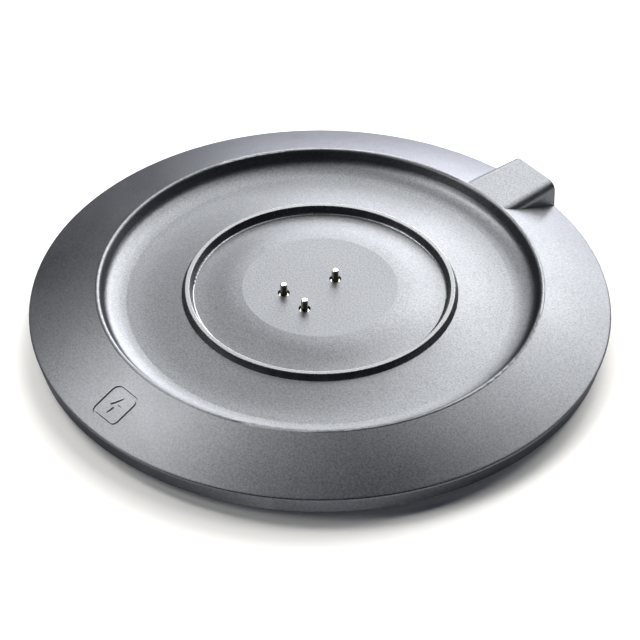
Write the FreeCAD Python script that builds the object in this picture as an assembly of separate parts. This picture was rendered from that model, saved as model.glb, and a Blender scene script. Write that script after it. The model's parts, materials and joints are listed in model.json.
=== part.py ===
"""Round tabletop charging dock: a shallow dished disc with three spring contacts on a low plateau.

Millimetres. The origin is on the disc's axis at the plane that the foot ring rests on. +Z is up and
+Y points at the rear hood, where the cable goes in. Each function below makes one piece.
"""
import FreeCAD, Part
import math
import os

# ---------------------------------------------------------------- disc and cover
DISC_R = 70.0              # outer edge of the rim
RIM_Z = 6.6                # height of the rim edge
RIM_ROUND = ((-0.55, 0.2), (-0.25, 0.05), (-0.07, -0.17), (0.0, -0.5))   # from DISC_R and RIM_Z
BAND_BOTTOM_Z = 2.0        # lower edge of the side band
BAND_INSET = 1.15          # how far the band's lower edge sits inside the rim
WALL = 1.5                 # cover wall
LIP_R = 53.45              # crest of the lip around the dish
LIP_TOP_Z = 13.4
LIP_HALF_WIDTH = 0.5
LIP_DROP = 0.22            # fall from the crest to either edge of the lip
DISH_WALL_TOP = (52.75, 12.95)
DISH_WALL_FOOT = (51.9, 11.3)
CHANNEL_R = 46.5           # where the channel floor is level
CHANNEL_Z = 9.3
APRON_MID = (22.6, 12.12)  # steepest stretch between the plateau and the ring
APRON_LOW = (26.2, 11.4)
PLATEAU_R = 18.65
PLATEAU_Z = 12.6

# ---------------------------------------------------------------- seat ring
RING_IN_R = 30.6
RING_OUT_R = 33.2
RING_INNER_Z = 10.85       # cover surface inside the ring
RING_OUTER_Z = 11.05       # cover surface outside the ring
RING_TOP_Z = 12.6
RING_TOP_IN_R = 31.5       # the flat top runs from here
RING_TOP_OUT_R = 32.3      # to here
RING_EDGE = 0.25           # rounding at both sides of the flat top
RING_FLARE = 0.4           # concave foot on the ring's inner side
GROOVE_FLOOR_Z = 9.8
RING_FIT = 0.03            # clearance in the groove

# ---------------------------------------------------------------- rear hood and socket
HOOD_HALF_W = 7.45         # at its end face
HOOD_ROOT_HALF_W = 8.3     # where it leaves the lip
HOOD_END_Y = 69.65
HOOD_BOTTOM_Z = 6.3
HOOD_TOP_Z = 13.4
HOOD_EDGE_R = 2.4
HOOD_WALL = 1.6
SOCKET_W = 8.94
SOCKET_H = 3.26
SOCKET_DEPTH = 7.3
SOCKET_SHEET = 0.3
SOCKET_Z = 9.95
SOCKET_MOUTH_Y = HOOD_END_Y - 0.1
SOCKET_FIT = 0.08

# ---------------------------------------------------------------- base
BASE_R = 67.05
BASE_BOTTOM_Z = 2.2
BASE_TOP_Z = 4.0
BAND_INNER_R = 67.2
FOOT_IN_R = 61.5
FOOT_OUT_R = 65.5
FOOT_GROOVE = 0.6
FOOT_FIT = 0.05
POST_PITCH_R = 57.5
POST_COUNT = 6
POST_R = 3.0
INSERT_R = 1.6
INSERT_LENGTH = 4.0
BASE_SCREW_R = 0.98
BASE_SCREW_HEAD_R = 1.9
HEAD_RECESS_R = 2.15
HEAD_RECESS = 1.0
BALLAST_IN_R = 22.0
BALLAST_OUT_R = 44.0
BALLAST_T = 2.0
BALLAST_SLOT_HALF_W = 9.0
BALLAST_SCREW_PITCH_R = 38.0
BALLAST_SCREW_ANGLES = (20, 160, 220, 320)
LABEL_SIZE = (34.0, 22.0)
LABEL_T = 0.15

# ---------------------------------------------------------------- contacts
PIN_PLACES = ((-3.85, -8.1), (3.85, -8.1), (0.0, 4.8))
PIN_TIP_Z = 15.3
PIN_TRAVEL = 2.2
PLUNGER_R = 0.85
PLUNGER_TIP_R = 0.3
TAIL_R = 0.96
TAIL_LENGTH = 1.15
BARREL_R = 1.25
BARREL_BORE_R = 1.0
BARREL_MOUTH_R = 0.88
BARREL_BOTTOM_Z = 6.6
BARREL_TOP_Z = 12.05
BARREL_FLOOR = 0.4
COLLAR_Z = 11.4            # underside of the barrel's mouth collar
COLLAR_GAP = 0.05
PIN_HOLE_R = 1.45
SOLDER_TAIL_R = 0.4
SOLDER_TAIL_END_Z = 4.9
SPRING_WIRE_R = 0.09
SPRING_MEAN_R = 0.8
SPRING_TURNS = 4.5

# ---------------------------------------------------------------- boards
BLOCK_R = 10.5
GASKET_T = 0.6
CEILING_Z = PLATEAU_Z - 1.4
CONTACT_BOARD_R = 18.0
BOARD_T = 1.0
CONTACT_BOARD_TOP_Z = BARREL_BOTTOM_Z
BOSS_PITCH_R = 15.0
BOSS_ANGLES = (30, 150, 270)
BOSS_R = 2.4
SMALL_SCREW_R = 0.8
SMALL_HEAD_R = 1.6
SMALL_HEAD_H = 0.9
SMALL_SCREW_LENGTH = 3.6
MAIN_BOARD_TOP_Z = 7.6
MAIN_BOARD_T = 0.8
MAIN_BOARD_HALF_W = 16.0
MAIN_BOARD_Y = (44.5, 60.5)
MAIN_TONGUE_HALF_W = 4.6
MAIN_TONGUE_END_Y = 67.5
MAIN_BOSS_PLACES = ((-13.5, 54.6), (13.5, 54.6))
WIRE_R = 0.5
WIRE_PITCH = 1.7
WIRE_BEND_R = 1.0
WIRE_START_Y = 15.6
WIRE_RISE_Y = 39.0
WIRE_END_Y = 45.2

# ---------------------------------------------------------------- mark on the rim
MARK_Y = -62.6
MARK_HALF_W = 4.3
MARK_LINE = 0.65
MARK_DEPTH = 0.32


def vec(r, z):
    """Point of a lathe profile, in the XZ plane."""
    return FreeCAD.Vector(r, 0, z)


def line(a, b):
    return Part.makeLine(vec(*a), vec(*b))


def arc(a, middle, b):
    return Part.Arc(vec(*a), vec(*middle), vec(*b)).toShape()


def curve(points, start_slope, end_slope):
    """Smooth profile edge through the points, with the given dz/dr at its ends."""
    spline = Part.BSplineCurve()
    spline.interpolate(
        Points=[vec(*p) for p in points],
        InitialTangent=FreeCAD.Vector(1, 0, start_slope),
        FinalTangent=FreeCAD.Vector(1, 0, end_slope),
    )
    return spline.toShape()


def lathe(edges):
    """Solid of revolution about Z from a closed chain of profile edges."""
    face = Part.Face(Part.Wire(edges))
    return face.revolve(FreeCAD.Vector(0, 0, 0), FreeCAD.Vector(0, 0, 1), 360)


def lathe_points(points):
    closed = list(points) + [points[0]]
    return lathe([line(a, b) for a, b in zip(closed, closed[1:])])


def cylinder(x, y, radius, z0, z1):
    return Part.makeCylinder(radius, z1 - z0, FreeCAD.Vector(x, y, z0))


def tube(x, y, inner, outer, z0, z1):
    return cylinder(x, y, outer, z0, z1).cut(cylinder(x, y, inner, z0 - 1, z1 + 1))


def block(x0, x1, y0, y1, z0, z1):
    return Part.makeBox(x1 - x0, y1 - y0, z1 - z0, FreeCAD.Vector(x0, y0, z0))


def centred_block(x, y, z0, width, depth, height):
    return block(x - width / 2, x + width / 2, y - depth / 2, y + depth / 2, z0, z0 + height)


def around(radius, angles):
    """Places on a circle about the axis, angles in degrees from +X."""
    return [(radius * math.cos(math.radians(a)), radius * math.sin(math.radians(a))) for a in angles]


def fused(shapes):
    return shapes[0].multiFuse(shapes[1:]).removeSplitter()


def group(shapes):
    """Several separate solids of one kind in one piece."""
    return Part.makeCompound(shapes)


def edges_along(shape, axis, test):
    """Straight edges that run along an axis (0, 1 or 2) and whose midpoint passes the test."""
    found = []
    for edge in shape.Edges:
        if len(edge.Vertexes) != 2:
            continue
        run = edge.Vertexes[1].Point - edge.Vertexes[0].Point
        middle = (edge.Vertexes[1].Point + edge.Vertexes[0].Point) * 0.5
        if abs(abs(run[axis]) - run.Length) < 1e-6 and test(middle):
            found.append(edge)
    return found


def stadium(width, height, y0, y1, z):
    """Slot-shaped bar along Y, centred on x = 0."""
    radius = height / 2
    half = width / 2 - radius
    bar = block(-half, half, y0, y1, z - radius, z + radius)
    along = FreeCAD.Vector(0, 1, 0)
    ends = [
        Part.makeCylinder(radius, y1 - y0, FreeCAD.Vector(x, y0, z), along)
        for x in (-half, half)
    ]
    return fused([bar] + ends)


def screw(x, y, seat_z, way, head_r, head_h, shank_r, length):
    """Pan-head screw. way is +1 where the shank points up from its seat and -1 where it points down."""
    up = FreeCAD.Vector(0, 0, way)
    seat = FreeCAD.Vector(x, y, seat_z)
    head = Part.makeCylinder(head_r, head_h, seat, up * -1)
    rim = edges_of_top(head, seat_z - way * head_h)
    head = head.makeFillet(head_h * 0.35, rim)
    shank = Part.makeCylinder(shank_r, length, seat, up)
    slot_depth = head_h * 0.5
    outer_z = seat_z - way * head_h
    low, high = sorted((outer_z, outer_z + way * slot_depth))
    cross = [
        centred_block(x, y, low, head_r, head_r * 0.28, high - low),
        centred_block(x, y, low, head_r * 0.28, head_r, high - low),
    ]
    return fused([head, shank]).cut(fused(cross))


def edges_of_top(shape, z):
    """Round edges of a cylinder that lie at height z."""
    return [e for e in shape.Edges if len(e.Vertexes) == 1 and abs(e.Vertexes[0].Z - z) < 1e-6]


# ---------------------------------------------------------------- cover
def visible_profile():
    """The cover's outer surface, from the axis out to the band's lower edge."""
    lip_in = (LIP_R - LIP_HALF_WIDTH, LIP_TOP_Z - LIP_DROP)
    lip_out = (LIP_R + LIP_HALF_WIDTH, LIP_TOP_Z - LIP_DROP)
    rim = [(DISC_R + r, RIM_Z + z) for r, z in RIM_ROUND]
    ring_in = (RING_IN_R - RING_FLARE - RING_FIT, RING_INNER_Z)
    ring_out = (RING_OUT_R + RING_FIT, RING_OUTER_Z)
    channel = (CHANNEL_R, CHANNEL_Z)
    return [
        line((0, PLATEAU_Z), (PLATEAU_R, PLATEAU_Z)),
        curve([(PLATEAU_R, PLATEAU_Z), APRON_MID, APRON_LOW, ring_in], -0.07, -0.06),
        line(ring_in, ring_out),
        curve([ring_out, (40.0, 9.86), channel], -0.19, 0.0),
        curve([channel, (49.8, 9.9), DISH_WALL_FOOT], 0.0, 1.8),
        line(DISH_WALL_FOOT, DISH_WALL_TOP),
        line(DISH_WALL_TOP, lip_in),
        arc(lip_in, (LIP_R, LIP_TOP_Z), lip_out),
        curve([lip_out, (62.1, 10.05), rim[0]], -0.36, -0.46),
        line(rim[0], rim[1]),
        line(rim[1], rim[2]),
        line(rim[2], rim[3]),
        line(rim[3], (DISC_R - BAND_INSET, BAND_BOTTOM_Z)),
    ]


def cover_body():
    """The cover as a filled lathe shape, before it is hollowed."""
    foot = (DISC_R - BAND_INSET, BAND_BOTTOM_Z)
    closing = [line(foot, (0, BAND_BOTTOM_Z)), line((0, BAND_BOTTOM_Z), (0, PLATEAU_Z))]
    return lathe(visible_profile() + closing)


def cover_cavity():
    """The space inside the cover, one wall thickness under the visible surface."""
    return lathe_points([
        (0, BAND_BOTTOM_Z - 1),
        (0, CEILING_Z),
        (PLATEAU_R - 0.4, CEILING_Z),
        (24.2, 10.0),
        (28.6, 9.0),
        (28.9, GROOVE_FLOOR_Z - WALL),
        (34.9, GROOVE_FLOOR_Z - WALL),
        (36.2, 8.9),
        (CHANNEL_R, CHANNEL_Z - WALL + 0.05),
        (51.3, 8.1),
        (53.7, 9.4),
        (53.9, 11.45),
        (BAND_INNER_R, 6.1),
        (BAND_INNER_R, BAND_BOTTOM_Z - 1),
    ])


def runs_back_at_top(edge):
    """True for the hood's two long upper edges."""
    first, last = [vertex.Point for vertex in edge.Vertexes]
    level = min(first.z, last.z) > HOOD_TOP_Z - 0.1
    return level and abs(first.y - last.y) > 5


def hood_body():
    """Solid hood that narrows from the lip to its flat end face, rounded along its top edges."""
    root_y = LIP_R - 4
    corners = [
        (-HOOD_ROOT_HALF_W, root_y),
        (HOOD_ROOT_HALF_W, root_y),
        (HOOD_HALF_W, HOOD_END_Y),
        (-HOOD_HALF_W, HOOD_END_Y),
    ]
    points = [FreeCAD.Vector(x, y, HOOD_BOTTOM_Z) for x, y in corners]
    plan = Part.Face(Part.makePolygon(points + [points[0]]))
    body = plan.extrude(FreeCAD.Vector(0, 0, HOOD_TOP_Z - HOOD_BOTTOM_Z))
    side_edges = [edge for edge in body.Edges if runs_back_at_top(edge)]
    body = body.makeFillet(HOOD_EDGE_R, side_edges)
    return body.cut(cylinder(0, 0, LIP_R, 0, HOOD_TOP_Z + 1))


def hood_cavity():
    inner_top = HOOD_TOP_Z - HOOD_WALL
    half = HOOD_HALF_W - HOOD_WALL
    floor_z = MAIN_BOARD_TOP_Z - MAIN_BOARD_T - 0.1
    cavity = block(-half, half, LIP_R + 1.5, HOOD_END_Y - HOOD_WALL, floor_z, inner_top)
    mouth = stadium(SOCKET_W + 2 * SOCKET_FIT, SOCKET_H + 2 * SOCKET_FIT,
                    HOOD_END_Y - 2 * HOOD_WALL, HOOD_END_Y + 1, SOCKET_Z)
    return fused([cavity, mouth])


def rounded_frame(half, line_w, corner):
    """Rounded square outline in plan, as a tall bar frame about the origin."""
    def plate(h, r):
        body = block(-h, h, -h, h, 0, 20)
        return body.makeFillet(r, edges_along(body, 2, lambda m: True))
    return plate(half, corner).cut(plate(half - line_w, corner - line_w))


def bolt_sign(size):
    """Plain zigzag flash in plan, the common sign for electric power."""
    corners = [(0.10, 0.62), (-0.36, -0.10), (-0.04, -0.10), (-0.12, -0.62), (0.36, 0.12), (0.04, 0.12)]
    points = [FreeCAD.Vector(x * size, y * size, 0) for x, y in corners]
    wire = Part.makePolygon(points + [points[0]])
    return Part.Face(wire).extrude(FreeCAD.Vector(0, 0, 20))


def mark_cut(body):
    """Engraving of constant depth: the sign's plan shape, limited to a skin of the cover."""
    sign = fused([rounded_frame(MARK_HALF_W, MARK_LINE, 1.8), bolt_sign(MARK_HALF_W)])
    sign.translate(FreeCAD.Vector(0, MARK_Y, 0))
    lowered = body.copy()
    lowered.translate(FreeCAD.Vector(0, 0, -MARK_DEPTH))
    return sign.common(body.cut(lowered))


def top_cover():
    body = cover_body()
    groove = tube(0, 0, RING_IN_R - RING_FLARE - RING_FIT, RING_OUT_R + RING_FIT, GROOVE_FLOOR_Z, RING_TOP_Z)
    shell = body.cut(cover_cavity())
    posts = [cylinder(x, y, POST_R, BASE_TOP_Z, HOOD_TOP_Z) for x, y in post_places()]
    posts += [cylinder(x, y, BOSS_R, CONTACT_BOARD_TOP_Z, HOOD_TOP_Z) for x, y in boss_places()]
    posts += [cylinder(x, y, BOSS_R - 0.2, MAIN_BOARD_TOP_Z, HOOD_TOP_Z) for x, y in MAIN_BOSS_PLACES]
    hood = hood_body().cut(cover_cavity())
    shell = fused([shell, hood] + [post.common(body) for post in posts])
    holes = [groove, hood_cavity(), mark_cut(body)]
    holes += [cylinder(x, y, PIN_HOLE_R, CEILING_Z - 1, PLATEAU_Z + 1) for x, y in PIN_PLACES]
    holes += [cylinder(x, y, INSERT_R, BASE_TOP_Z - 1, BASE_TOP_Z + INSERT_LENGTH) for x, y in post_places()]
    pilot = SMALL_SCREW_R + 0.02
    holes += [
        cylinder(x, y, pilot, CONTACT_BOARD_TOP_Z - 1, CONTACT_BOARD_TOP_Z + SMALL_SCREW_LENGTH - BOARD_T + 0.2)
        for x, y in boss_places()
    ]
    holes += [
        cylinder(x, y, pilot, MAIN_BOARD_TOP_Z - 1, MAIN_BOARD_TOP_Z + 2.0)
        for x, y in MAIN_BOSS_PLACES
    ]
    for hole in holes:
        shell = shell.cut(hole)
    return shell


def post_places():
    return around(POST_PITCH_R, [360 / POST_COUNT * i for i in range(POST_COUNT)])


def boss_places():
    return around(BOSS_PITCH_R, BOSS_ANGLES)


def seat_ring():
    """Flat-topped bead: a foot that fills the groove and steep sides with rounded top edges."""
    foot_in = (RING_IN_R - RING_FLARE, GROOVE_FLOOR_Z)
    foot_out = (RING_OUT_R, GROOVE_FLOOR_Z)
    flare_low = (RING_IN_R - RING_FLARE, RING_INNER_Z)
    flare_mid = (RING_IN_R - 0.1, RING_INNER_Z + 0.12)
    flare_top = (RING_IN_R + 0.12, RING_INNER_Z + 0.45)
    inner_low = (RING_TOP_IN_R - RING_EDGE, RING_TOP_Z - RING_EDGE)
    inner_mid = (RING_TOP_IN_R - RING_EDGE * 0.7, RING_TOP_Z - RING_EDGE * 0.3)
    inner_top = (RING_TOP_IN_R, RING_TOP_Z)
    outer_top = (RING_TOP_OUT_R, RING_TOP_Z)
    outer_mid = (RING_TOP_OUT_R + RING_EDGE * 0.65, RING_TOP_Z - RING_EDGE * 0.3)
    outer_low = (RING_TOP_OUT_R + RING_EDGE, RING_TOP_Z - RING_EDGE)
    skirt = (RING_OUT_R, RING_OUTER_Z)
    return lathe([
        line(foot_in, flare_low),
        arc(flare_low, flare_mid, flare_top),
        line(flare_top, inner_low),
        arc(inner_low, inner_mid, inner_top),
        line(inner_top, outer_top),
        arc(outer_top, outer_mid, outer_low),
        line(outer_low, skirt),
        line(skirt, foot_out),
        line(foot_out, foot_in),
    ])


# ---------------------------------------------------------------- base
def base_plate():
    plate = cylinder(0, 0, BASE_R, BASE_BOTTOM_Z, BASE_TOP_Z)
    groove = tube(0, 0, FOOT_IN_R - FOOT_FIT, FOOT_OUT_R + FOOT_FIT,
                  BASE_BOTTOM_Z - 1, BASE_BOTTOM_Z + FOOT_GROOVE)
    cuts = [groove]
    cuts.append(centred_block(0, 0, BASE_BOTTOM_Z - 1, LABEL_SIZE[0] + 0.6, LABEL_SIZE[1] + 0.6, 1 + LABEL_T))
    for x, y in post_places():
        cuts.append(cylinder(x, y, HEAD_RECESS_R, BASE_BOTTOM_Z - 1, BASE_BOTTOM_Z + HEAD_RECESS))
        cuts.append(cylinder(x, y, BASE_SCREW_R + 0.12, BASE_BOTTOM_Z - 1, BASE_TOP_Z + 1))
    for x, y in around(BALLAST_SCREW_PITCH_R, BALLAST_SCREW_ANGLES):
        cuts.append(cylinder(x, y, SMALL_SCREW_R + 0.02, BASE_BOTTOM_Z + 0.5, BASE_TOP_Z + 1))
    for cut in cuts:
        plate = plate.cut(cut)
    return plate


def foot_ring():
    ring = tube(0, 0, FOOT_IN_R, FOOT_OUT_R, 0, BASE_BOTTOM_Z + FOOT_GROOVE)
    return ring.makeFillet(0.5, edges_of_top(ring, 0))


def base_screws():
    seat = BASE_BOTTOM_Z + HEAD_RECESS
    return group([
        screw(x, y, seat, 1, BASE_SCREW_HEAD_R, HEAD_RECESS - 0.1, BASE_SCREW_R, 4.6)
        for x, y in post_places()
    ])


def threaded_inserts():
    """Knurled brass inserts, shown with two plain grooves."""
    inserts = []
    for x, y in post_places():
        body = tube(x, y, BASE_SCREW_R + 0.02, INSERT_R, BASE_TOP_Z, BASE_TOP_Z + INSERT_LENGTH)
        for z in (BASE_TOP_Z + 1.1, BASE_TOP_Z + 2.5):
            body = body.cut(tube(x, y, INSERT_R - 0.2, INSERT_R + 1, z, z + 0.4))
        inserts.append(body)
    return group(inserts)


def ballast_plate():
    plate = tube(0, 0, BALLAST_IN_R, BALLAST_OUT_R, BASE_TOP_Z, BASE_TOP_Z + BALLAST_T)
    plate = plate.cut(block(-BALLAST_SLOT_HALF_W, BALLAST_SLOT_HALF_W, 0, DISC_R, 0, 20))
    for x, y in around(BALLAST_SCREW_PITCH_R, BALLAST_SCREW_ANGLES):
        plate = plate.cut(cylinder(x, y, SMALL_SCREW_R + 0.15, 0, 20))
    return plate


def ballast_screws():
    seat = BASE_TOP_Z + BALLAST_T
    return group([
        screw(x, y, seat, -1, SMALL_HEAD_R, SMALL_HEAD_H, SMALL_SCREW_R, 3.1)
        for x, y in around(BALLAST_SCREW_PITCH_R, BALLAST_SCREW_ANGLES)
    ])


def rating_label():
    label = centred_block(0, 0, BASE_BOTTOM_Z, LABEL_SIZE[0], LABEL_SIZE[1], LABEL_T)
    return label.makeFillet(2.0, edges_along(label, 2, lambda m: True))


# ---------------------------------------------------------------- contacts
def pin_block():
    carrier = cylinder(0, 0, BLOCK_R, CONTACT_BOARD_TOP_Z, CEILING_Z - GASKET_T)
    for x, y in PIN_PLACES:
        carrier = carrier.cut(cylinder(x, y, BARREL_R, 0, 20))
    return carrier


def pin_gasket():
    gasket = cylinder(0, 0, BLOCK_R, CEILING_Z - GASKET_T, CEILING_Z)
    for x, y in PIN_PLACES:
        gasket = gasket.cut(cylinder(x, y, BARREL_R + 0.02, 0, 20))
    return gasket


def pin_barrel(x, y):
    body = cylinder(x, y, BARREL_R, BARREL_BOTTOM_Z, BARREL_TOP_Z)
    body = body.makeFillet(0.12, edges_of_top(body, BARREL_TOP_Z))
    tail = cylinder(x, y, SOLDER_TAIL_R, SOLDER_TAIL_END_Z, BARREL_BOTTOM_Z)
    bore = cylinder(x, y, BARREL_BORE_R, BARREL_BOTTOM_Z + BARREL_FLOOR, COLLAR_Z)
    mouth = cylinder(x, y, BARREL_MOUTH_R, COLLAR_Z, BARREL_TOP_Z + 1)
    return fused([body, tail]).cut(bore).cut(mouth)


def pin_plunger(x, y):
    tail_top = COLLAR_Z - COLLAR_GAP
    shank = cylinder(x, y, PLUNGER_R, tail_top, PIN_TIP_Z)
    shank = shank.makeFillet(PLUNGER_TIP_R, edges_of_top(shank, PIN_TIP_Z))
    tail = cylinder(x, y, TAIL_R, tail_top - TAIL_LENGTH, tail_top)
    return fused([shank, tail])


def pin_spring(x, y):
    """Coil between the barrel floor and the plunger's tail."""
    low = BARREL_BOTTOM_Z + BARREL_FLOOR + SPRING_WIRE_R + 0.01
    high = COLLAR_Z - COLLAR_GAP - TAIL_LENGTH - SPRING_WIRE_R - 0.01
    steps_per_turn = 8
    steps = round(SPRING_TURNS * steps_per_turn)
    points = []
    for step in range(steps + 1):
        angle = 2 * math.pi * step / steps_per_turn
        height = low + (high - low) * step / steps
        across = SPRING_MEAN_R * math.cos(angle)
        along = SPRING_MEAN_R * math.sin(angle)
        points.append(FreeCAD.Vector(x + across, y + along, height))
    path = Part.BSplineCurve()
    path.interpolate(points)
    start_tangent = path.tangent(path.FirstParameter)[0]
    section = Part.Wire(Part.makeCircle(SPRING_WIRE_R, points[0], start_tangent))
    return Part.Wire(path.toShape()).makePipeShell([section], True, True)


def contact_board():
    bottom = CONTACT_BOARD_TOP_Z - BOARD_T
    board = cylinder(0, 0, CONTACT_BOARD_R, bottom, CONTACT_BOARD_TOP_Z)
    for x, y in PIN_PLACES:
        board = board.cut(cylinder(x, y, SOLDER_TAIL_R, 0, 20))
    for x, y in boss_places():
        board = board.cut(cylinder(x, y, SMALL_SCREW_R + 0.15, 0, 20))
    return board


def contact_board_screws():
    seat = CONTACT_BOARD_TOP_Z - BOARD_T
    return group([
        screw(x, y, seat, 1, SMALL_HEAD_R, SMALL_HEAD_H, SMALL_SCREW_R, SMALL_SCREW_LENGTH)
        for x, y in boss_places()
    ])


def solder_joints():
    """One cone of solder around each barrel's tail, under the board."""
    top = CONTACT_BOARD_TOP_Z - BOARD_T
    height = 0.5
    joints = []
    for x, y in PIN_PLACES:
        cone = Part.makeCone(SOLDER_TAIL_R + 0.1, 0.95, height, FreeCAD.Vector(x, y, top - height))
        joints.append(cone.cut(cylinder(x, y, SOLDER_TAIL_R, 0, 20)))
    return group(joints)


# ---------------------------------------------------------------- main board and socket
def main_board():
    y0, y1 = MAIN_BOARD_Y
    bottom = MAIN_BOARD_TOP_Z - MAIN_BOARD_T
    board = block(-MAIN_BOARD_HALF_W, MAIN_BOARD_HALF_W, y0, y1, bottom, MAIN_BOARD_TOP_Z)
    tongue = block(-MAIN_TONGUE_HALF_W, MAIN_TONGUE_HALF_W, y1, MAIN_TONGUE_END_Y, bottom, MAIN_BOARD_TOP_Z)
    board = fused([board, tongue])
    board = board.makeFillet(0.8, edges_along(board, 2, lambda m: abs(m.x) > MAIN_BOARD_HALF_W - 0.1))
    for x, y in MAIN_BOSS_PLACES:
        board = board.cut(cylinder(x, y, SMALL_SCREW_R + 0.15, 0, 20))
    return board


def main_board_screws():
    seat = MAIN_BOARD_TOP_Z - MAIN_BOARD_T
    return group([
        screw(x, y, seat, 1, SMALL_HEAD_R, SMALL_HEAD_H, SMALL_SCREW_R, 2.6)
        for x, y in MAIN_BOSS_PLACES
    ])


def socket_shell():
    rear_y = SOCKET_MOUTH_Y - SOCKET_DEPTH
    outside = stadium(SOCKET_W, SOCKET_H, rear_y, SOCKET_MOUTH_Y, SOCKET_Z)
    inside = stadium(SOCKET_W - 2 * SOCKET_SHEET, SOCKET_H - 2 * SOCKET_SHEET,
                     rear_y + SOCKET_SHEET, SOCKET_MOUTH_Y + 1, SOCKET_Z)
    leg_x = SOCKET_W / 2 - SOCKET_SHEET / 2
    legs = [
        centred_block(x, y, MAIN_BOARD_TOP_Z, SOCKET_SHEET, 1.0, SOCKET_Z - MAIN_BOARD_TOP_Z)
        for x in (-leg_x, leg_x)
        for y in (rear_y + 1.2, rear_y + 4.6)
    ]
    return fused([outside] + legs).cut(inside)


def socket_tongue():
    """Insulator: a plug that fills the shell's rear and the thin tongue that carries the contacts."""
    rear_y = SOCKET_MOUTH_Y - SOCKET_DEPTH + SOCKET_SHEET
    root = stadium(SOCKET_W - 2 * SOCKET_SHEET, SOCKET_H - 2 * SOCKET_SHEET, rear_y, rear_y + 1.0, SOCKET_Z)
    tongue = centred_block(0, rear_y + 3.2, SOCKET_Z - 0.35, 6.7, 6.2, 0.7)
    return fused([root, tongue])


def socket_stand():
    """Moulded block that carries the socket above the board."""
    rear_y = SOCKET_MOUTH_Y - SOCKET_DEPTH
    height = SOCKET_Z - SOCKET_H / 2 - MAIN_BOARD_TOP_Z
    return centred_block(0, rear_y + 2.6, MAIN_BOARD_TOP_Z, 5.4, 4.8, height)


def socket_contacts():
    """Twelve strips on each face of the tongue."""
    y0 = SOCKET_MOUTH_Y - SOCKET_DEPTH + SOCKET_SHEET + 1.0
    strips = []
    for index in range(12):
        x = (index - 5.5) * 0.5
        for low in (SOCKET_Z + 0.35, SOCKET_Z - 0.35 - 0.06):
            strips.append(block(x - 0.13, x + 0.13, y0, y0 + 4.6, low, low + 0.06))
    return group(strips)


def charge_chip():
    body = centred_block(8.0, 56.4, MAIN_BOARD_TOP_Z, 4.0, 4.0, 0.85)
    return body.cut(cylinder(6.6, 57.8, 0.25, MAIN_BOARD_TOP_Z + 0.75, MAIN_BOARD_TOP_Z + 2))


def power_inductor():
    bottom = MAIN_BOARD_TOP_Z - MAIN_BOARD_T
    body = centred_block(-9.0, 50.0, bottom - 2.2, 4.4, 4.4, 2.2)
    return body.makeFillet(0.6, edges_along(body, 2, lambda m: True))


def small_parts(places, size):
    return group([centred_block(x, y, MAIN_BOARD_TOP_Z, *size) for x, y in places])


def capacitors():
    return small_parts([(-10.0 + 2.4 * i, 58.6) for i in range(4)], (1.6, 0.9, 0.8))


def resistors():
    return small_parts([(-10.0 + 1.6 * i, 54.8) for i in range(6)], (1.0, 0.5, 0.35))


def board_header():
    bottom = MAIN_BOARD_TOP_Z - MAIN_BOARD_T
    return block(-4.2, 4.2, 48.8, 52.2, bottom - 2.4, bottom)


def wire_plug():
    bottom = MAIN_BOARD_TOP_Z - MAIN_BOARD_T
    body = block(-3.4, 3.4, 45.2, 48.8, bottom - 2.2, bottom - 0.3)
    ridge = block(-1.6, 1.6, 45.8, 48.8, bottom - 0.3, bottom - 0.1)
    return fused([body, ridge])


def wire(index):
    """Insulated wire from under the contact board to the plug; index is -1, 0 or 1 across the harness."""
    x = index * WIRE_PITCH
    board_z = CONTACT_BOARD_TOP_Z - BOARD_T
    run_z = board_z - WIRE_BEND_R
    plug_z = MAIN_BOARD_TOP_Z - MAIN_BOARD_T - 1.25
    start = FreeCAD.Vector(x, WIRE_START_Y, board_z)
    knee = WIRE_BEND_R * math.sqrt(0.5)
    bend_mid = FreeCAD.Vector(x, WIRE_START_Y + WIRE_BEND_R - knee, board_z - knee)
    bend_end = FreeCAD.Vector(x, WIRE_START_Y + WIRE_BEND_R, run_z)
    rise_start = FreeCAD.Vector(x, WIRE_RISE_Y, run_z)
    end = FreeCAD.Vector(x, WIRE_END_Y, plug_z)
    rise = Part.BSplineCurve()
    along = FreeCAD.Vector(0, 1, 0)
    rise.interpolate(Points=[rise_start, end], InitialTangent=along, FinalTangent=along)
    path = Part.Wire([
        Part.Arc(start, bend_mid, bend_end).toShape(),
        Part.makeLine(bend_end, rise_start),
        rise.toShape(),
    ])
    section = Part.Wire(Part.makeCircle(WIRE_R, start, FreeCAD.Vector(0, 0, -1)))
    return path.makePipeShell([section], True, True)


def pieces():
    """Every piece of the dock, by node name."""
    made = {
        "top_cover": top_cover(),
        "seat_ring": seat_ring(),
        "base_plate": base_plate(),
        "foot_ring": foot_ring(),
        "base_screws": base_screws(),
        "threaded_inserts": threaded_inserts(),
        "ballast_plate": ballast_plate(),
        "ballast_screws": ballast_screws(),
        "rating_label": rating_label(),
        "pin_block": pin_block(),
        "pin_gasket": pin_gasket(),
        "contact_board": contact_board(),
        "contact_board_screws": contact_board_screws(),
        "solder_joints": solder_joints(),
        "main_board": main_board(),
        "main_board_screws": main_board_screws(),
        "socket_shell": socket_shell(),
        "socket_tongue": socket_tongue(),
        "socket_contacts": socket_contacts(),
        "socket_stand": socket_stand(),
        "charge_chip": charge_chip(),
        "power_inductor": power_inductor(),
        "capacitors": capacitors(),
        "resistors": resistors(),
        "board_header": board_header(),
        "wire_plug": wire_plug(),
        "wire_power": wire(-1),
        "wire_signal": wire(0),
        "wire_ground": wire(1),
    }
    for number, (x, y) in enumerate(PIN_PLACES, start=1):
        made[f"pin_barrel_{number}"] = pin_barrel(x, y)
        made[f"pin_plunger_{number}"] = pin_plunger(x, y)
        made[f"pin_spring_{number}"] = pin_spring(x, y)
    return made


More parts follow.
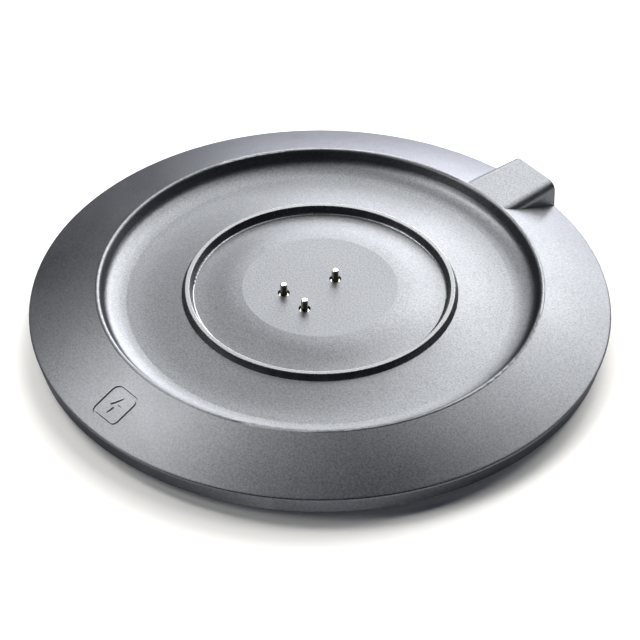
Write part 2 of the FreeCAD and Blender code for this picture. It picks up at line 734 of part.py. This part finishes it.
def write_all():
    os.makedirs("parts", exist_ok=True)
    for name, shape in pieces().items():
        shape.exportStep(f"parts/{name}.step")
        print(name, "valid" if shape.isValid() else "INVALID", len(shape.Solids), round(shape.Volume, 3))


write_all()
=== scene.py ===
"""Looks for the round charging dock: materials, surface detail, studio and camera."""
import json
import math

import bpy
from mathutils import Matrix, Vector

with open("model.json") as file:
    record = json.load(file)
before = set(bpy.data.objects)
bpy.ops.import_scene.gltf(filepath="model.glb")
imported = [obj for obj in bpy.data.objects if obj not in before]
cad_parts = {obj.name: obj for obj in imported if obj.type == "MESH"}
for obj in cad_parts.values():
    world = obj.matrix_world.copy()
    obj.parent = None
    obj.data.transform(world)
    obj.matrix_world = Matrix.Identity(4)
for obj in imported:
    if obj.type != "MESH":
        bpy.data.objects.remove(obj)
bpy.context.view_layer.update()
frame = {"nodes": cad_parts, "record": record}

MM = 0.001

# ---------------------------------------------------------------- studio
RIM_Z = 6.6 * MM             # height of the rim edge, which the camera is aimed at
CAMERA_AZIMUTH = 49.7        # degrees, 0 looks along +Y
CAMERA_ELEVATION = 39.44
CAMERA_DISTANCE = 1.12
CAMERA_LENS = 261.9
SENSOR = 36.0
CAMERA_SHIFT_Y = -0.0218
CAMERA_NEAR, CAMERA_FAR = 0.01, 20.0
FLOOR_HALF = 3.0
FLOOR_COLOUR = (0.9, 0.9, 0.9)
FLOOR_ROUGHNESS = 0.9
WORLD_GLOW = (0.02, 0.026, 0.042)  # weak light from all round
WORLD_SEEN = (0.85, 0.86, 0.87)    # backdrop where the floor ends, for the camera only

LAMP_DISTANCE = 1.0
LAMP_HEIGHT = 0.42
LAMP_GAIN = 10.0             # watts per square metre of lamp at brightness 1

# soft boxes: azimuth anticlockwise from the picture's right, elevation, width, brightness
LAMPS = (
    (30, 10, 0.26, 0.90),
    (60, 10, 0.26, 2.27),
    (75, 10, 0.26, 6.54),
    (90, 10, 0.26, 4.08),
    (30, 32, 0.22, 0.49),
    (45, 32, 0.22, 2.56),
    (60, 32, 0.22, 3.76),
    (75, 32, 0.22, 2.00),
    (90, 32, 0.22, 2.03),
    (105, 32, 0.22, 1.13),
    (135, 32, 0.22, 0.29),
    (195, 32, 0.22, 1.46),
    (30, 54, 0.21, 1.82),
    (70, 54, 0.21, 2.14),
    (90, 54, 0.21, 0.69),
    (130, 54, 0.21, 1.01),
    (150, 54, 0.21, 3.94),
    (190, 54, 0.21, 1.63),
    (150, 76, 0.18, 0.75),
)
UNDER_LAMP = (0, -90, 0.42, 4.0)    # shines up through the floor, for looks at the underside
LAMP_COLOUR = (1.0, 0.985, 0.945)

# ---------------------------------------------------------------- surface
NOISE_LOW, NOISE_HIGH = 0.3, 0.7   # the range that most noise values lie in
ROUGH_SWING = 0.05                 # how far a plain finish's roughness varies either way
PAINT_GRAIN_MM = 0.45
PAINT_PATCH_MM = 14.0
PAINT_DARK = (0.092, 0.096, 0.104)
PAINT_LIGHT = (0.156, 0.162, 0.176)
PAINT_EDGE_TINT = (0.3, 0.3, 0.32, 1)
PAINT_ROUGH_LOW, PAINT_ROUGH_HIGH = 0.38, 0.42
PAINT_ROUGH_GRAIN = 0.03
PAINT_RELIEF_MM = 0.018


def new_material(name):
    material = bpy.data.materials.new(name)
    material.use_nodes = True
    nodes = material.node_tree.nodes
    return material, nodes, material.node_tree.links, nodes["Principled BSDF"]


def noise(nodes, links, scale_mm, detail=2.0, roughness=0.5):
    """3-D noise whose grains are about scale_mm across, in the object's own frame."""
    place = nodes.new("ShaderNodeTexCoord")
    texture = nodes.new("ShaderNodeTexNoise")
    texture.inputs["Scale"].default_value = 1.0 / (scale_mm * MM)
    texture.inputs["Detail"].default_value = detail
    texture.inputs["Roughness"].default_value = roughness
    links.new(place.outputs["Object"], texture.inputs["Vector"])
    return texture.outputs["Fac"]


def spread(nodes, links, value, low, high):
    """Maps the middle of a noise value onto low..high."""
    node = nodes.new("ShaderNodeMapRange")
    node.inputs["From Min"].default_value = NOISE_LOW
    node.inputs["From Max"].default_value = NOISE_HIGH
    node.inputs["To Min"].default_value = low
    node.inputs["To Max"].default_value = high
    links.new(value, node.inputs["Value"])
    return node.outputs["Result"]


def tint(nodes, links, value, dark, light):
    """Colour between dark and light, chosen by a 0..1 value."""
    node = nodes.new("ShaderNodeMix")
    node.data_type = "RGBA"
    node.inputs["A"].default_value = (*dark, 1)
    node.inputs["B"].default_value = (*light, 1)
    links.new(value, node.inputs["Factor"])
    return node.outputs["Result"]


def bump(nodes, links, value, height_mm):
    """Surface normal of a relief whose full height is height_mm."""
    node = nodes.new("ShaderNodeBump")
    node.inputs["Strength"].default_value = 1.0
    node.inputs["Distance"].default_value = height_mm * MM
    links.new(value, node.inputs["Height"])
    return node.outputs["Normal"]


def metallic_paint():
    """Dark silver paint with fine flake: grains a fraction of a millimetre across."""
    material, nodes, links, shader = new_material("metallic_paint")
    grain = noise(nodes, links, PAINT_GRAIN_MM, 3.0, 0.6)
    patch = noise(nodes, links, PAINT_PATCH_MM, 2.0)
    flake = spread(nodes, links, grain, 0.0, 1.0)
    colour = tint(nodes, links, flake, PAINT_DARK, PAINT_LIGHT)
    links.new(colour, shader.inputs["Base Color"])
    shader.inputs["Metallic"].default_value = 1.0
    shader.inputs["Specular Tint"].default_value = PAINT_EDGE_TINT
    rough = nodes.new("ShaderNodeMath")
    rough.operation = "ADD"
    links.new(spread(nodes, links, patch, PAINT_ROUGH_LOW, PAINT_ROUGH_HIGH), rough.inputs[0])
    links.new(spread(nodes, links, grain, -PAINT_ROUGH_GRAIN, PAINT_ROUGH_GRAIN), rough.inputs[1])
    links.new(rough.outputs[0], shader.inputs["Roughness"])
    links.new(bump(nodes, links, grain, PAINT_RELIEF_MM), shader.inputs["Normal"])
    return material


def plain_finish(name, dark, light, rough, grain_mm, height_mm, metallic=0.0):
    """A material with one grain size: its colour, roughness and surface all follow that grain."""
    material, nodes, links, shader = new_material(name)
    grain = noise(nodes, links, grain_mm, 3.0, 0.55)
    mix = spread(nodes, links, grain, 0.0, 1.0)
    links.new(tint(nodes, links, mix, dark, light), shader.inputs["Base Color"])
    varied = spread(nodes, links, grain, rough - ROUGH_SWING, rough + ROUGH_SWING)
    links.new(varied, shader.inputs["Roughness"])
    shader.inputs["Metallic"].default_value = metallic
    links.new(bump(nodes, links, grain, height_mm), shader.inputs["Normal"])
    return material


FINISHES = {
    "cover": metallic_paint(),
    "ring": plain_finish(
        "ring_silver", (0.100, 0.104, 0.112), (0.118, 0.123, 0.132), 0.26, 3.0, 0.004, 0.85
    ),
    "base": plain_finish(
        "base_plastic", (0.028, 0.028, 0.03), (0.05, 0.05, 0.053), 0.5, 0.8, 0.03
    ),
    "foot": plain_finish(
        "foot_rubber", (0.018, 0.018, 0.019), (0.034, 0.034, 0.036), 0.8, 0.5, 0.03
    ),
    "steel": plain_finish(
        "plated_steel", (0.48, 0.49, 0.5), (0.6, 0.61, 0.62), 0.35, 1.2, 0.004, 1.0
    ),
    "screw": plain_finish(
        "black_zinc", (0.08, 0.08, 0.085), (0.16, 0.16, 0.165), 0.35, 0.4, 0.004, 1.0
    ),
    "brass": plain_finish(
        "insert_brass", (0.6, 0.43, 0.18), (0.75, 0.56, 0.27), 0.32, 0.6, 0.004, 1.0
    ),
    "label": plain_finish("label_film", (0.5, 0.51, 0.52), (0.58, 0.59, 0.6), 0.4, 2.0, 0.003),
    "carrier": plain_finish(
        "carrier_nylon", (0.014, 0.014, 0.016), (0.028, 0.028, 0.03), 0.5, 0.4, 0.01
    ),
    "gasket": plain_finish(
        "gasket_foam", (0.02, 0.02, 0.022), (0.05, 0.05, 0.053), 0.9, 0.25, 0.03
    ),
    "contact": plain_finish(
        "contact_plating", (0.42, 0.39, 0.33), (0.5, 0.47, 0.41), 0.2, 0.5, 0.002, 1.0
    ),
    "spring": plain_finish(
        "spring_wire", (0.5, 0.5, 0.5), (0.65, 0.65, 0.65), 0.25, 0.3, 0.002, 1.0
    ),
    "board": plain_finish(
        "solder_mask", (0.008, 0.07, 0.03), (0.014, 0.11, 0.045), 0.35, 0.8, 0.01
    ),
    "solder": plain_finish("solder", (0.6, 0.61, 0.63), (0.75, 0.76, 0.78), 0.25, 0.5, 0.01, 1.0),
    "socket": plain_finish(
        "socket_steel", (0.55, 0.56, 0.57), (0.68, 0.69, 0.7), 0.28, 0.7, 0.003, 1.0
    ),
    "chip": plain_finish(
        "chip_moulding", (0.012, 0.012, 0.013), (0.022, 0.022, 0.023), 0.6, 0.2, 0.01
    ),
    "inductor": plain_finish("ferrite", (0.05, 0.05, 0.055), (0.09, 0.09, 0.095), 0.55, 0.3, 0.02),
    "passives": plain_finish("ceramic_body", (0.3, 0.2, 0.12), (0.4, 0.28, 0.18), 0.45, 0.3, 0.01),
    "connector": plain_finish(
        "natural_nylon", (0.6, 0.56, 0.46), (0.7, 0.66, 0.56), 0.45, 0.5, 0.01
    ),
    "wire_red": plain_finish(
        "wire_red", (0.35, 0.012, 0.012), (0.45, 0.02, 0.02), 0.4, 0.6, 0.005
    ),
    "wire_yellow": plain_finish(
        "wire_yellow", (0.5, 0.36, 0.02), (0.6, 0.45, 0.03), 0.4, 0.6, 0.005
    ),
    "wire_black": plain_finish(
        "wire_black", (0.012, 0.012, 0.012), (0.022, 0.022, 0.022), 0.4, 0.6, 0.005
    ),
}


def dress_nodes():
    """Gives every CAD node the finish of its material slot."""
    slots = {part["node"]: part["material_slot"] for part in frame["record"]["subparts"]}
    for name, thing in frame["nodes"].items():
        thing.data.materials.clear()
        thing.data.materials.append(FINISHES[slots[name]])


def direction(azimuth, elevation):
    """Unit vector towards a light; azimuth runs anticlockwise from the picture's right-hand side."""
    turn = math.radians(CAMERA_AZIMUTH + azimuth)
    rise = math.radians(elevation)
    return Vector((math.cos(turn) * math.cos(rise), math.sin(turn) * math.cos(rise), math.sin(rise)))


def add_soft_box(name, azimuth, elevation, width, brightness):
    data = bpy.data.lights.new(name, "AREA")
    data.shape = "RECTANGLE"
    data.size = width
    data.size_y = LAMP_HEIGHT
    data.energy = LAMP_GAIN * width * LAMP_HEIGHT * brightness
    data.color = LAMP_COLOUR
    lamp = bpy.data.objects.new(name, data)
    towards = direction(azimuth, elevation)
    lamp.location = towards * LAMP_DISTANCE
    lamp.rotation_mode = "QUATERNION"
    lamp.rotation_quaternion = towards.to_track_quat("Z", "Y")
    bpy.context.scene.collection.objects.link(lamp)


def add_lights():
    for number, lamp in enumerate(LAMPS):
        add_soft_box(f"soft_box_{number}", *lamp)
    add_soft_box("under_fill", *UNDER_LAMP)


def add_world():
    world = bpy.data.worlds.new("studio")
    bpy.context.scene.world = world
    world.use_nodes = True
    nodes = world.node_tree.nodes
    links = world.node_tree.links
    seen = nodes.new("ShaderNodeLightPath").outputs["Is Camera Ray"]
    links.new(tint(nodes, links, seen, WORLD_GLOW, WORLD_SEEN), nodes["Background"].inputs["Color"])


def mixed(nodes, links, factor, first, second):
    """The first shader where the factor is 0, the second where it is 1."""
    node = nodes.new("ShaderNodeMixShader")
    links.new(factor, node.inputs["Fac"])
    links.new(first, node.inputs[1])
    links.new(second, node.inputs[2])
    return node.outputs["Shader"]


def add_floor():
    """Plain pale floor. It is clear from below, and it lets the under lamp's light through."""
    mesh = bpy.data.meshes.new("floor")
    h = FLOOR_HALF
    mesh.from_pydata([(-h, -h, 0), (h, -h, 0), (h, h, 0), (-h, h, 0)], [], [(0, 1, 2, 3)])
    floor = bpy.data.objects.new("floor", mesh)
    bpy.context.scene.collection.objects.link(floor)
    material, nodes, links, shader = new_material("floor_white")
    shader.inputs["Roughness"].default_value = FLOOR_ROUGHNESS
    shader.inputs["Specular IOR Level"].default_value = 0.0
    shader.inputs["Base Color"].default_value = (*FLOOR_COLOUR, 1)
    lamp_ray = nodes.new("ShaderNodeLightPath").outputs["Is Shadow Ray"]
    below = nodes.new("ShaderNodeNewGeometry").outputs["Backfacing"]
    clear = nodes.new("ShaderNodeBsdfTransparent").outputs["BSDF"]
    upper = mixed(nodes, links, lamp_ray, shader.outputs["BSDF"], clear)
    links.new(mixed(nodes, links, below, upper, clear), nodes["Material Output"].inputs["Surface"])
    mesh.materials.append(material)


def add_camera():
    turn = math.radians(CAMERA_AZIMUTH)
    rise = math.radians(CAMERA_ELEVATION)
    back = Vector((math.sin(turn) * math.cos(rise), -math.cos(turn) * math.cos(rise), math.sin(rise)))
    data = bpy.data.cameras.new("camera")
    data.lens = CAMERA_LENS
    data.sensor_width = SENSOR
    data.shift_y = CAMERA_SHIFT_Y
    data.clip_start = CAMERA_NEAR
    data.clip_end = CAMERA_FAR
    camera = bpy.data.objects.new("camera", data)
    camera.location = Vector((0, 0, RIM_Z)) + back * CAMERA_DISTANCE
    camera.rotation_mode = "QUATERNION"
    camera.rotation_quaternion = (-back).to_track_quat("-Z", "Y")
    bpy.context.scene.collection.objects.link(camera)
    bpy.context.scene.camera = camera


dress_nodes()
add_world()
add_floor()
add_lights()
add_camera()
bpy.context.scene.view_settings.view_transform = "Standard"
